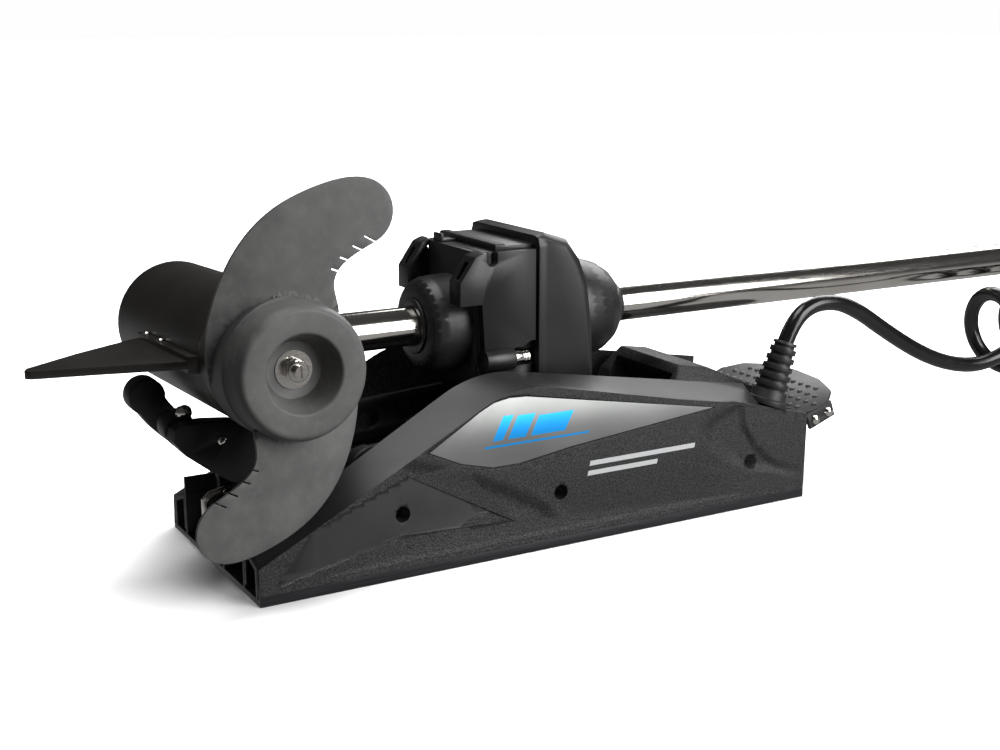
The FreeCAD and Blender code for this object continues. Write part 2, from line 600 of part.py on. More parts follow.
def propeller():
    profile = [(HUB_S0, 38), (HUB_S0, 44.6), (HUB_STEP, 44.2), (HUB_STEP + 1, 43), (114, 42), (117, 40.6),
               (HUB_S1, 38), (HUB_S1, 23), (117, 21), (HUB_STEP + 2, 17.5), (HUB_STEP, 15), (HUB_STEP, PIN_R),
               (76, PIN_R), (76, 13), (92, 13), (92, 38)]
    hub = turned(profile, MOTOR_AT, OUT, OVER)
    first = blade()
    second = first.rotated(MOTOR_AT, OUT, 180)
    core = on_motor(40, HUB_S0 - 10, HUB_S1 + 10)
    prop = fuse(hub, first.cut(core), second.cut(core))
    return prop.cut(rod(2, MOTOR_AT + OUT * 80 - X * 14, MOTOR_AT + OUT * 80 + X * 14))


def prop_shaft():
    step = on_motor(PIN_R + 1, HUB_STEP, 113).cut(on_motor(4, HUB_STEP - 1, 114))
    rod_ = on_motor(PIN_R, -124, 112).cut(step)
    slot = Part.makeBox(1.2, 10, 2.5, V(-0.6, -5, 0))
    slot.Placement = FreeCAD.Placement(MOTOR_AT + OUT * 110, FreeCAD.Rotation(Z, OUT))
    return rod_.cut(slot).cut(rod(2, MOTOR_AT + OUT * 80 - X * 14, MOTOR_AT + OUT * 80 + X * 14))


def drive_pin():
    return rod(2, MOTOR_AT + OUT * 80 - X * 12.5, MOTOR_AT + OUT * 80 + X * 12.5)


def armature():
    core = on_motor(33, -70, 18)
    for k in range(8):
        a = math.radians(45 * k + 22.5)
        centre = X * (31 * math.cos(a)) + OVER * (31 * math.sin(a))
        core = core.cut(rod(4.5, MOTOR_AT + centre - OUT * 80, MOTOR_AT + centre + OUT * 30))
    return fuse(core, on_motor(14, 18, 38)).cut(on_motor(PIN_R, -100, 60))


def prop_washer():
    return on_motor(12, HUB_STEP, HUB_STEP + 1.6).cut(on_motor(4, 90, 110))


def prop_nut():
    start = HUB_STEP + 1.6
    points = [blade_point(7.6, 60 * k + 10, start) for k in range(6)]
    nut = Part.Face(Part.makePolygon(points + points[:1])).extrude(OUT * 6)
    nut = fuse(nut, on_motor(6.4, start + 6, start + 8.4))
    return nut.cut(on_motor(4, 90, 120))


# ---- foot pedal ----
PEDAL_PLATE = [(231, -56), (249, -66), (265, -67), (280, -55), (289, -32), (292, 0), (289, 32), (280, 55),
               (265, 67), (249, 66), (231, 56)]
PEDAL_SLOPE = 19.8                   # degrees
PEDAL_Z = 52.0                       # the plate's underside at its front edge


def tilted(shape):
    """Turned from flat to the pedal's slope, about its front edge."""
    return shape.rotated(V(PEDAL_PLATE[0][0], 0, PEDAL_Z), Y, -PEDAL_SLOPE)


def pedal_plate():
    plate = plate_xy(PEDAL_PLATE, PEDAL_Z, PEDAL_Z + 3)
    flanges = [box(243, 269, y, y + 3, PEDAL_Z - 11, PEDAL_Z + 2) for y in (-67, 64)]
    ears = [box(229, 243, y, y + 4, PEDAL_Z - 10, PEDAL_Z + 1) for y in (-18, 14)]
    x, z = PEDAL_PIN
    knuckles = [along_y(6.5, x, z, y, y + 4) for y in (-18, 14)]
    shape = fuse(tilted(fuse(plate, *flanges, *ears)), *knuckles)
    return shape.cut(along_y(3 + FIT, x, z, -80, 80)).cut(along_y(7.2, x, z, -13.6, 13.6))


def pedal_screws():
    screws = []
    for x in (250, 264):
        flat = dome_screw(V(x, -67, PEDAL_Z - 5.5), -Y, 4.2, 2.6, 1.8, 2.9)
        screws += [tilted(flat), mirror_y(tilted(flat))]
    return Part.makeCompound(screws)


def pedal_bracket():
    x, z = PEDAL_PIN
    foot, web = box(213, x + 4, -13, -9, FLOOR_T, 40), box(217, x + 4, -13, -9, 30, z)
    ear = fuse(foot, web, along_y(6, x, z, -13, -9))
    ear = ear.cut(along_y(3, x, z, -30, 30)).cut(box(222.4, 240, -14, -8, 0, 22))
    foot = box(213, 222, -17, 17, FLOOR_T, FLOOR_T + 3)
    return fuse(ear, mirror_y(ear), foot)


def pedal_pin():
    x, z = PEDAL_PIN
    return along_y(3, x, z, -20, 20)


def pedal_spring():
    x, z = PEDAL_PIN
    return along_y(5, x, z, -8, 8).cut(along_y(3.3, x, z, -9, 9))


# ---- cord ----
RELIEF_AT, RELIEF_AXIS = V(195.4, -71, 74.0), V(0.343, 0, 0.939)
LEAD = [(212.5, -71, 120.9), (219, -71, 136), (236, -71, 147.5), (261, -71, 148), (285, -71, 138),
        (308, -71, 123.5), (333, -71, 108.5), (360, -72, 94), (390, -74, 83), (422, -76, 79), (456, -78, 86)]
COIL = [(456, -45, 97), (600, -44, 92), (760, -42, 93), (896, -40, 100)]
TAIL = [(896, -73, 97), (911, -69, 109), (927, -56, 118), (942, -46, 122), (959.4, -40, 122)]


def routed(name, points, diameter, start_axis=None):
    """A tube along straight runs joined by tangent arcs. Prints its radii, length and volume ratio."""
    p = [V(*q) for q in points]
    edges, at, radii = [], p[0], []
    for i in range(1, len(p) - 1):
        back, on = p[i - 1] - p[i], p[i + 1] - p[i]
        trim = 0.45 * min(back.Length, on.Length)
        back.normalize()
        on.normalize()
        turn = math.pi - back.getAngle(on)
        radii.append(trim / math.tan(turn / 2))
        a, b = p[i] + back * trim, p[i] + on * trim
        middle = (back + on).normalize()
        reach = radii[-1] / math.cos(turn / 2)
        edges += [Part.makeLine(at, a), Part.Arc(a, p[i] + middle * (reach - radii[-1]), b).toShape()]
        at = b
    edges.append(Part.makeLine(at, p[-1]))
    path = Part.Wire(edges)
    face = Part.Face(Part.Wire(Part.Circle(p[0], p[1] - p[0], diameter / 2).toShape()))
    tube = Part.Wire(path).makePipeShell([face.OuterWire], True, False)
    ratio = tube.Volume / (math.pi * diameter ** 2 / 4 * path.Length)
    print(name, "length %.0f" % path.Length, "volume ratio %.3f" % ratio, "radii", [round(r) for r in radii])
    return tube


def strain_relief():
    """A moulded sleeve with a round foot and six ribs that grow smaller towards its mouth."""
    profile = [(0, 0), (0, 15.5), (4, 15.5), (5, 14), (7, 14)]
    step, rib = 6.8, 4.2
    for k in range(6):
        s, r = 7 + k * step, 13.6 - 0.7 * k
        profile += [(s, r), (s + rib, r), (s + rib, r - 2.2), (s + step, r - 2.2)]
    end = 7 + 6 * step
    profile += [(end, 9.4), (end + 2.2, 8.8), (end + 2.2, 0)]
    return turned(profile, RELIEF_AT, V(RELIEF_AXIS).normalize(), Y)


# Where the pieces on the right pass into the one on the left, it has holes or slots for them.
ROOM = {
    "side_cover_near": ("base_extrusion", "strain_relief"), "side_cover_far": ("base_extrusion",),
    "rest_bracket": ("latch_hooks", "rest_screws"), "rest_saddle": ("rest_screws", "rest_bracket"),
    "rest_hook": ("rest_screws", "rest_bracket"), "rear_cap": ("housing_screws",),
    "head_lower": ("cord_tail",), "pedal_plate": ("pedal_screws",), "skeg": ("skeg_screws",),
    "motor_case": ("skeg_screws",), "housing_body": ("side_plate_near", "side_plate_far"),
}


NODES = {
    "base_extrusion": base_extrusion, "side_cover_near": lambda: cover_shell(True),
    "side_cover_far": lambda: mirror_y(cover_shell(False)), "badge_panel_near": badge_panel,
    "badge_panel_far": lambda: mirror_y(badge_panel()), "cover_screws": cover_screws, "rear_cover": rear_cover,
    "rest_bracket": rest_bracket, "rest_saddle": rest_saddle, "rest_hook": rest_hook,
    "rest_screws": rest_screws, "latch_hooks": latch_hooks, "pivot_brackets": pivot_brackets,
    "pivot_shaft": pivot_shaft,
    "strain_relief": strain_relief, "cord_lead": lambda: routed("lead", LEAD, CORD_D),
    "cord_coil": lambda: routed("coil", COIL, COIL_OD), "cord_tail": lambda: routed("tail", TAIL, CORD_D),
    "pedal_bracket": pedal_bracket, "pedal_pin": pedal_pin, "pedal_spring": pedal_spring,
    "pedal_plate": pedal_plate, "pedal_screws": pedal_screws,
    "swing_arm_near": swing_arm_near, "swing_arm_far": lambda: mirror_y(swing_arm_near()),
    "arm_bushes": arm_bushes, "housing_pin": housing_pin,
    "housing_body": housing_body, "side_plate_near": side_plate_near,
    "side_plate_far": lambda: mirror_y(side_plate_near()), "top_plate": top_plate, "rear_cap": rear_cap,
    "rear_dome": rear_dome, "front_bush": front_bush, "rear_bush": rear_bush, "housing_screws": housing_screws,
    "steering_motor": steering_motor, "latch_plunger": latch_plunger, "steering_pinion": steering_pinion,
    "steering_gear": steering_gear, "drive_sleeve": drive_sleeve,
    "shaft_tube": shaft_tube, "motor_case": motor_case, "motor_nose": motor_nose,
    "motor_end_cap": motor_end_cap,
    "shaft_socket": shaft_socket, "skeg": skeg, "skeg_screws": skeg_screws, "field_magnets": field_magnets,
    "motor_bearings": motor_bearings, "head_lower": head_lower, "head_upper": head_upper,
    "head_board": head_board, "head_lens": head_lens,
    "propeller": propeller, "prop_shaft": prop_shaft, "armature": armature, "drive_pin": drive_pin,
    "prop_washer": prop_washer, "prop_nut": prop_nut,
}

os.makedirs("parts", exist_ok=True)
shapes = {name: make() for name, make in NODES.items()}
for name, others in ROOM.items():
    for other in others:
        shapes[name] = shapes[name].cut(shapes[other])
for name, shape in shapes.items():
    if not shape.isValid() or not shape.Solids or shape.Volume <= 0:
        print("check", name, shape.isValid(), len(shape.Solids), shape.Volume)
    shape.exportStep("parts/" + name + ".step")
print(len(NODES), "nodes")
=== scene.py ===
import json
import math

import bmesh
import bpy
from mathutils import Matrix, Vector


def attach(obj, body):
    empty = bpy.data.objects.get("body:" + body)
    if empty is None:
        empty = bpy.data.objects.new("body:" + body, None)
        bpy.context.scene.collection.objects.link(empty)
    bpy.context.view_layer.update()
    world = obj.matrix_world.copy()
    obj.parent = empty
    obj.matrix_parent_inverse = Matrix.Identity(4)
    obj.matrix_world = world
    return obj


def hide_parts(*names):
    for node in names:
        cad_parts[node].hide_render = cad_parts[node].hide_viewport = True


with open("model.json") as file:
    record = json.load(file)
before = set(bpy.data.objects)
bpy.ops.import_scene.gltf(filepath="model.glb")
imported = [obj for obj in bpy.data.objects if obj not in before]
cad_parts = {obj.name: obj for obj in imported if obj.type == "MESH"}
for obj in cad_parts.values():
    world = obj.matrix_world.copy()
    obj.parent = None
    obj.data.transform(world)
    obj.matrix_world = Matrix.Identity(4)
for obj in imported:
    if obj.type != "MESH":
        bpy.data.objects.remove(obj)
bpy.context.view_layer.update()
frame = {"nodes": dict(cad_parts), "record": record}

MM = 0.001


# ---------------------------------------------------------------- shader maths
class Wire:
    """A socket in a material's nodes. Sums and products on it add the nodes that work them out."""

    def __init__(self, tree, socket):
        self.tree, self.socket = tree, socket

    def maths(self, operation, *values):
        return node(self.tree, "Math", dict(operation=operation), values)

    def __add__(self, other):
        return self.maths("ADD", self, other)

    def __sub__(self, other):
        return self.maths("SUBTRACT", self, other)

    def __rsub__(self, other):
        return self.maths("SUBTRACT", other, self)

    def __mul__(self, other):
        return self.maths("MULTIPLY", self, other)

    __radd__, __rmul__ = __add__, __mul__

    def above(self, level):
        return self.maths("GREATER_THAN", self, level)

    def clamp(self):
        return node(self.tree, "Clamp", {}, [self])


def node(tree, kind, settings=None, values=(), out=0):
    """A shader node: its settings first, then the values or links of its sockets."""
    n = tree.nodes.new("ShaderNode" + kind)
    stops = None
    for key, value in (settings or {}).items():
        if key == "stops":
            stops = value
        else:
            setattr(n, key, value)
    if stops:
        ramp = n.color_ramp.elements
        while len(ramp) < len(stops):
            ramp.new(0.5)
        for element, (place, shade) in zip(ramp, stops):
            element.position = place
            element.color = (shade, shade, shade, 1) if isinstance(shade, (int, float)) else (*shade, 1)
    pairs = values.items() if isinstance(values, dict) else enumerate(values)
    for key, value in pairs:
        if isinstance(value, Wire):
            tree.links.new(value.socket, n.inputs[key])
        elif value is not None:
            n.inputs[key].default_value = value
    return Wire(tree, n.outputs[out])


class Finish:
    """A material being made: one Principled shader, and short names for the nodes that feed it."""

    def __init__(self, name, **constants):
        self.material = bpy.data.materials.new(name)
        self.material.use_nodes = True
        self.tree = self.material.node_tree
        self.shader = self.tree.nodes["Principled BSDF"]
        for key, value in constants.items():
            self.shader.inputs[key.replace("_", " ")].default_value = value

    def node(self, kind, settings=None, values=(), out=0):
        return node(self.tree, kind, settings, values, out)

    def place(self, scale=(1, 1, 1)):
        here = self.node("TexCoord", out=3)
        return self.node("Mapping", {}, {"Vector": here, "Scale": scale})

    def parts(self, vector):
        return [self.node("SeparateXYZ", {}, [vector], out=k) for k in range(3)]

    def noise(self, size_mm, detail=3.0, rough=0.55, where=None):
        where = where or self.place()
        return self.node("TexNoise", {}, {"Vector": where, "Scale": 1000.0 / size_mm, "Detail": detail,
                                          "Roughness": rough})

    def ramp(self, value, *stops):
        return self.node("ValToRGB", dict(stops=stops), [value])

    def blend(self, factor, a, b):
        return self.node("Mix", dict(data_type="RGBA"), {0: factor, 6: a, 7: b}, out=2)

    def bump(self, height, depth_mm):
        return self.node("Bump", {}, {"Height": height, "Distance": depth_mm * MM, "Strength": 1.0})

    def feed(self, **wires):
        for key, wire in wires.items():
            self.tree.links.new(wire.socket, self.shader.inputs[key.replace("_", " ")])
        return self.material


def rgb(r, g, b):
    return (r, g, b, 1.0)


# ---------------------------------------------------------------- finishes
def inside(u, low, high):
    """1 where a value lies between two levels."""
    return u.above(low) * (high - u).above(0)


def grained_plastic():
    """Moulded cover plastic with a spark-eroded grain, and two plain pale bars printed on its side."""
    m = Finish("grained_plastic", IOR=1.38)
    grain, pits, tone = m.noise(1.1, 2.0, 0.6), m.noise(2.3, 2.0, 0.5), m.noise(60, 2.0)
    colour = m.blend(m.ramp(grain, (0.38, 0.0), (0.68, 1.0)),
                     rgb(0.004, 0.004, 0.0042), rgb(0.052, 0.052, 0.053))
    colour = m.blend(m.ramp(tone, (0.3, 0.0), (0.8, 0.35)), colour, rgb(0.034, 0.034, 0.035))
    x, y, z = m.parts(m.place())
    along = x - z * 0.25
    long_bar = inside(along, 0.012, 0.104) * inside(z, 0.0545, 0.0580)
    short_bar = inside(along, 0.012, 0.072) * inside(z, 0.0475, 0.0510)
    print_mask = (long_bar + short_bar).clamp() * (0.0 - y).above(0.08)
    colour = m.blend(print_mask, colour, rgb(0.62, 0.63, 0.64))
    rough = m.ramp(grain, (0.3, 0.60), (0.75, 0.34))
    return m.feed(Base_Color=colour, Roughness=rough, Normal=m.bump(grain * 0.7 + pits * 0.5, 0.42))


def smooth_plastic():
    m = Finish("smooth_plastic", IOR=1.5)
    fine, tone = m.noise(0.6, 2.0), m.noise(45, 3.0)
    colour = m.blend(m.ramp(tone, (0.3, 0.0), (0.75, 1.0)),
                     rgb(0.014, 0.014, 0.015), rgb(0.026, 0.026, 0.027))
    rough = m.ramp(tone, (0.3, 0.36), (0.8, 0.44))
    return m.feed(Base_Color=colour, Roughness=rough, Normal=m.bump(fine, 0.03))


def badge_plastic():
    """The inlay, satin grey, with a plain flash of slanted blue bars over a thin line."""
    m = Finish("badge_plastic", IOR=1.5, Metallic=0.8)
    tone, fine = m.noise(90, 2.0), m.noise(0.6, 2.0)
    colour = m.blend(m.ramp(tone, (0.3, 0.0), (0.7, 1.0)), rgb(0.22, 0.225, 0.22), rgb(0.30, 0.305, 0.30))
    x, y, z = m.parts(m.place())
    lean = x - (z - 0.09) * 0.55
    flash = None
    for start, end, low, high in ((-0.048, -0.040, 0.083, 0.0995), (-0.036, -0.022, 0.083, 0.0985),
                                  (-0.018, 0.010, 0.083, 0.0965), (-0.052, 0.032, 0.0785, 0.0800)):
        bar = inside(lean, start, end) * inside(z, low, high)
        flash = bar if flash is None else flash + bar
    colour = m.blend(flash.clamp(), colour, rgb(0.02, 0.38, 0.95))
    rough = m.ramp(tone, (0.3, 0.36), (0.8, 0.43))
    return m.feed(Base_Color=colour, Roughness=rough, Normal=m.bump(fine, 0.015))


def painted_casting():
    m = Finish("painted_casting", IOR=1.5)
    peel, cloud = m.noise(1.6, 3.0), m.noise(40, 3.0)
    colour = m.blend(m.ramp(cloud, (0.3, 0.0), (0.75, 1.0)),
                     rgb(0.010, 0.010, 0.0105), rgb(0.019, 0.019, 0.020))
    rough = m.ramp(cloud, (0.3, 0.36), (0.8, 0.46))
    return m.feed(Base_Color=colour, Roughness=rough, Normal=m.bump(peel, 0.05))


def motor_paint():
    m = Finish("motor_paint", IOR=1.5)
    peel, cloud = m.noise(1.0, 3.0), m.noise(55, 3.0)
    colour = m.blend(m.ramp(cloud, (0.3, 0.0), (0.75, 1.0)),
                     rgb(0.011, 0.0095, 0.008), rgb(0.024, 0.020, 0.016))
    rough = m.ramp(cloud, (0.3, 0.34), (0.8, 0.44))
    return m.feed(Base_Color=colour, Roughness=rough, Normal=m.bump(peel, 0.03))


def prop_plastic():
    """Glass-filled nylon: dull grey, cloudy, with faint flow marks."""
    m = Finish("prop_plastic", IOR=1.5)
    cloud, fine, flow = m.noise(26, 4.0, 0.6), m.noise(0.9, 3.0), m.noise(7, 3.0, 0.5)
    colour = m.blend(m.ramp(cloud, (0.3, 0.0), (0.72, 1.0)),
                     rgb(0.072, 0.072, 0.071), rgb(0.135, 0.135, 0.131))
    colour = m.blend(m.ramp(flow, (0.52, 0.0), (0.8, 0.35)), colour, rgb(0.17, 0.17, 0.166))
    rough = m.ramp(cloud, (0.3, 0.48), (0.75, 0.62))
    return m.feed(Base_Color=colour, Roughness=rough, Normal=m.bump(fine * 0.6 + flow * 0.4, 0.08))


def rubber(name, dark, light, rough_low, rough_high):
    m = Finish(name, IOR=1.5)
    cloud, fine = m.noise(22, 3.0), m.noise(0.8, 2.0)
    colour = m.blend(m.ramp(cloud, (0.3, 0.0), (0.75, 1.0)), rgb(*[dark] * 3), rgb(*[light] * 3))
    rough = m.ramp(cloud, (0.3, rough_low), (0.8, rough_high))
    return m.feed(Base_Color=colour, Roughness=rough, Normal=m.bump(fine, 0.04))


def stainless(rough=0.13):
    """Ground and polished steel, its fine lines drawn out along X."""
    m = Finish("stainless", Metallic=1.0)
    lines = m.noise(0.9, 3.0, 0.6, m.place((0.05, 1, 1)))
    cloud = m.noise(60, 2.0)
    colour = m.blend(m.ramp(cloud, (0.3, 0.0), (0.8, 1.0)), rgb(0.60, 0.57, 0.53), rgb(0.72, 0.70, 0.67))
    return m.feed(Base_Color=colour, Roughness=m.ramp(lines, (0.3, rough * 0.75), (0.75, rough * 1.4)),
                  Normal=m.bump(lines, 0.004))


def plain_metal(name, low, high, rough):
    m = Finish(name, Metallic=1.0)
    cloud, fine = m.noise(14, 3.0), m.noise(0.7, 2.0)
    colour = m.blend(m.ramp(cloud, (0.3, 0.0), (0.8, 1.0)), rgb(*low), rgb(*high))
    return m.feed(Base_Color=colour, Roughness=m.ramp(cloud, (0.3, rough), (0.8, rough + 0.12)),
                  Normal=m.bump(fine, 0.02))


def plain_solid(name, low, high, rough, size_mm=12.0, **constants):
    m = Finish(name, **constants)
    cloud, fine = m.noise(size_mm, 3.0), m.noise(0.7, 2.0)
    colour = m.blend(m.ramp(cloud, (0.3, 0.0), (0.8, 1.0)), rgb(*low), rgb(*high))
    return m.feed(Base_Color=colour, Roughness=m.ramp(cloud, (0.3, rough), (0.8, rough + 0.12)),
                  Normal=m.bump(fine, 0.02))


def anodised():
    m = Finish("anodised", Metallic=0.55)
    lines = m.noise(1.2, 3.0, 0.6, m.place((0.03, 1, 1)))
    colour = m.blend(m.ramp(lines, (0.35, 0.0), (0.7, 1.0)),
                     rgb(0.022, 0.022, 0.025), rgb(0.040, 0.040, 0.044))
    return m.feed(Base_Color=colour, Roughness=m.ramp(lines, (0.3, 0.34), (0.7, 0.5)),
                  Normal=m.bump(lines, 0.02))


FINISHES = {
    "anodised_black": anodised(), "cover_plastic": grained_plastic(), "badge_plastic": badge_plastic(),
    "cast_black": painted_casting(), "motor_black": motor_paint(), "prop_plastic": prop_plastic(),
    "rubber_black": rubber("rubber_black", 0.010, 0.022, 0.40, 0.55),
    "cord_black": rubber("cord_black", 0.006, 0.012, 0.16, 0.26),
    "stainless": stainless(), "steel": plain_metal("steel", (0.38, 0.38, 0.39), (0.52, 0.52, 0.53), 0.28),
    "copper_iron": plain_metal("copper_iron", (0.30, 0.14, 0.07), (0.55, 0.30, 0.16), 0.35),
    "magnet": plain_solid("magnet", (0.05, 0.05, 0.055), (0.09, 0.09, 0.095), 0.5),
    "board_green": plain_solid("board_green", (0.01, 0.07, 0.03), (0.02, 0.13, 0.05), 0.35, 5.0),
    "lens_red": plain_solid("lens_red", (0.30, 0.01, 0.01), (0.45, 0.02, 0.02), 0.12, 9.0),
    "acetal": plain_solid("acetal", (0.012, 0.012, 0.012), (0.03, 0.03, 0.03), 0.35),
    "pedal_black": plain_solid("pedal_black", (0.016, 0.016, 0.017), (0.032, 0.032, 0.034), 0.42, 3.0),
}
SMOOTH = smooth_plastic()
SLOT = {s["node"]: s["material_slot"] for s in frame["record"]["subparts"]}
BODY = {n: b for b, names in frame["record"]["behaviour"]["bodies"].items() for n in names}


# ---------------------------------------------------------------- modelling helpers
def deselect():
    if bpy.context.object and bpy.context.object.mode != "OBJECT":
        bpy.ops.object.mode_set(mode="OBJECT")
    bpy.ops.object.select_all(action="DESELECT")


def only(piece):
    deselect()
    piece.hide_viewport = False
    piece.select_set(True)
    bpy.context.view_layer.objects.active = piece
    return piece


def apply_modifier(piece, kind, **settings):
    only(piece)
    modifier = piece.modifiers.new(kind.lower(), kind)
    for key, value in settings.items():
        setattr(modifier, key, value)
    bpy.ops.object.modifier_apply(modifier=modifier.name)


def smooth(piece, angle=35):
    only(piece)
    bpy.ops.object.shade_smooth_by_angle(angle=math.radians(angle))


def finish_piece(piece, *nodes):
    """The piece rides on its first node's body, takes its slot's finish and stands for the nodes."""
    slot = SLOT[nodes[0]]
    if not piece.data.materials:
        piece.data.materials.append(FINISHES[slot])
    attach(piece, BODY[nodes[0]])
    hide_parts(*nodes)
    return piece


def copy_of(name):
    """A copy of a CAD piece, its vertices merged and its flat faces made one."""
    only(frame["nodes"][name])
    bpy.ops.object.duplicate()
    piece = bpy.context.object
    piece.parent = None
    piece.matrix_world = Matrix.Identity(4)
    piece.name = piece.data.name = name + "_made"
    piece.data.materials.clear()
    bpy.ops.object.mode_set(mode="EDIT")
    bpy.ops.mesh.select_all(action="SELECT")
    bpy.ops.mesh.remove_doubles(threshold=2e-6)
    bpy.ops.mesh.dissolve_limited(angle_limit=math.radians(0.03))
    bpy.ops.object.mode_set(mode="OBJECT")
    return piece


def eased(name, edge_mm, angle):
    """A copy of a CAD piece with its sharp edges rounded as moulding, casting or deburring leaves them."""
    piece = copy_of(name)
    apply_modifier(piece, "BEVEL", width=edge_mm * MM, segments=2, limit_method="ANGLE",
                   angle_limit=math.radians(angle), miter_outer="MITER_ARC")
    smooth(piece, angle + 10)
    return finish_piece(piece, name)


def lathe(name, profile, origin, axis, side, steps=96):
    """A body of revolution from points (distance along the axis, radius), in millimetres."""
    mesh = bpy.data.meshes.new(name)
    mesh.from_pydata([(r, 0, s) for s, r in profile], [(k, k + 1) for k in range(len(profile) - 1)], [])
    piece = bpy.data.objects.new(name, mesh)
    bpy.context.scene.collection.objects.link(piece)
    apply_modifier(piece, "SCREW", angle=2 * math.pi, steps=steps, render_steps=steps, screw_offset=0,
                   axis="Z", use_merge_vertices=True, merge_threshold=0.001, use_normal_calculate=True)
    axis, side = Vector(axis).normalized(), Vector(side).normalized()
    turn = Matrix((side, axis.cross(side), axis)).transposed().to_4x4()
    piece.data.transform(Matrix.Translation(Vector(origin) * MM) @ turn @ Matrix.Scale(MM, 4))
    return piece


def rounded(profile, radii, steps=5):
    """A profile with some of its corners turned into arcs of the given radius."""
    out = [profile[0]]
    for k in range(1, len(profile) - 1):
        at, reach = Vector(profile[k]), radii.get(k, 0)
        if not reach:
            out.append(profile[k])
            continue
        a, b = (Vector(profile[k - 1]) - at).normalized(), (Vector(profile[k + 1]) - at).normalized()
        half = a.angle(b) / 2
        trim = reach / math.tan(half)
        centre = at + (a + b).normalized() * (reach / math.sin(half))
        start, end = at + a * trim - centre, at + b * trim - centre
        sweep = start.angle_signed(end)
        for i in range(steps + 1):
            turn = Matrix.Rotation(-sweep * i / steps, 2)
            out.append(tuple(centre + turn @ start))
    return out + [profile[-1]]


def join(*pieces):
    deselect()
    for piece in pieces:
        piece.select_set(True)
    bpy.context.view_layer.objects.active = pieces[0]
    bpy.ops.object.join()
    return bpy.context.object


# ---------------------------------------------------------------- light, floor and camera
def lamp(name, at, towards, size, power):
    deselect()
    bpy.ops.object.light_add(type="AREA", location=at)
    light = bpy.context.object
    light.name = name
    light.rotation_euler = (Vector(towards) - Vector(at)).to_track_quat("-Z", "Y").to_euler()
    light.data.shape = "RECTANGLE"
    light.data.size, light.data.size_y = size
    light.data.energy = power


def studio():
    """A white table with a sun of its own, and four soft boxes for the object."""
    world = bpy.data.worlds.new("studio")
    bpy.context.scene.world = world
    world.use_nodes = True
    tree = world.node_tree
    sky = tree.nodes["Background"]
    sky.inputs["Color"].default_value = (1, 1, 1, 1)
    seen, mirrored = node(tree, "LightPath", out=0), node(tree, "LightPath", out=3)
    up = node(tree, "SeparateXYZ", values=[node(tree, "TexCoord", out=0)], out=2)
    below = (0.0 - up * 4.0).clamp()
    tree.links.new((seen * 0.94 + mirrored * below * 0.34 + 0.05).socket, sky.inputs["Strength"])
    deselect()
    bpy.ops.mesh.primitive_plane_add(size=60, location=(0, 0, 0))
    floor = bpy.context.object
    floor.name = "floor"
    floor.visible_glossy = floor.visible_diffuse = False
    paper = Finish("paper", IOR=1.3)
    grain = paper.noise(400, 2.0)
    floor.data.materials.append(paper.feed(Base_Color=paper.ramp(grain, (0.3, 0.93), (0.7, 0.95)),
                                           Roughness=paper.ramp(grain, (0.3, 0.85), (0.7, 0.9))))
    deselect()
    bpy.ops.object.light_add(type="SUN", rotation=(math.radians(-14), math.radians(10), 0))
    sun = bpy.context.object
    sun.data.energy = 6.0
    sun.data.angle = math.radians(60)
    table_only = bpy.data.collections.new("table_only")
    table_only.objects.link(floor)
    sun.light_linking.receiver_collection = table_only
    lamp("key", (0.85, -1.55, 0.95), (-0.05, 0, 0.12), (1.3, 1.2), 38)
    lamp("right", (0.7, -1.3, 0.12), (-0.15, -0.08, 0.05), (0.6, 0.2), 3.0)
    lamp("rim", (1.5, 1.0, 1.2), (0.05, 0, 0.12), (1.7, 1.0), 26)
    lamp("top", (-0.2, 0.1, 1.5), (0, 0, 0.1), (1.2, 0.6), 12)


def camera():
    deselect()
    bpy.ops.object.camera_add(location=(-0.5161, -0.9012, 0.3593),
                              rotation=(math.radians(90 - 13.725), 0, math.radians(-29.869)))
    view = bpy.context.object
    view.data.sensor_width = 36.0
    view.data.lens = 52.196
    view.data.clip_end = 80
    bpy.context.scene.camera = view
    bpy.context.scene.view_settings.view_transform = "Standard"


camera()
studio()

# ---------------------------------------------------------------- cord
LEAD = [(212.5, -71, 120.9), (219, -71, 136), (236, -71, 147.5), (261, -71, 148), (285, -71, 138),
        (308, -71, 123.5), (333, -71, 108.5), (360, -72, 94), (390, -74, 83), (422, -76, 79)]
COIL = [(456, -45, 97), (600, -44, 92), (760, -42, 93), (896, -40, 100)]
TAIL = [(911, -69, 109), (927, -56, 118), (942, -46, 122), (959.4, -40, 122)]
COIL_R, TURNS, PER_TURN = 33.75, 10, 16
CORD_D = 12.5


def coil_points():
    """The helix about the coil's line, starting at its near side and climbing."""
    out = []
    for k in range(TURNS * PER_TURN + 1):
        along = k / (TURNS * PER_TURN)
        x = COIL[0][0] + along * (COIL[-1][0] - COIL[0][0])
        for (x0, y0, z0), (x1, y1, z1) in zip(COIL, COIL[1:]):
            if x0 <= x <= x1 + 1e-6:
                share = (x - x0) / (x1 - x0)
                y, z = y0 + share * (y1 - y0), z0 + share * (z1 - z0)
        turn = 2 * math.pi * k / PER_TURN - 0.25
        wide = COIL_R / math.cos(math.pi / PER_TURN) ** 0.5
        out.append((x, y - wide * math.cos(turn), z + wide * math.sin(turn)))
    return out


def curve_piece(name, points_mm, radius_mm):
    deselect()
    bpy.ops.curve.primitive_nurbs_path_add()
    piece = bpy.context.object
    piece.name = piece.data.name = name
    piece.data.splines.clear()
    spline = piece.data.splines.new("NURBS")
    spline.points.add(len(points_mm) - 1)
    for point, (x, y, z) in zip(spline.points, points_mm):
        point.co = (x * MM, y * MM, z * MM, 1)
    spline.order_u = 3
    spline.use_endpoint_u = True
    spline.resolution_u = 4
    piece.data.dimensions = "3D"
    piece.data.bevel_depth = radius_mm * MM
    piece.data.bevel_resolution = 5
    piece.data.use_fill_caps = True
    return piece


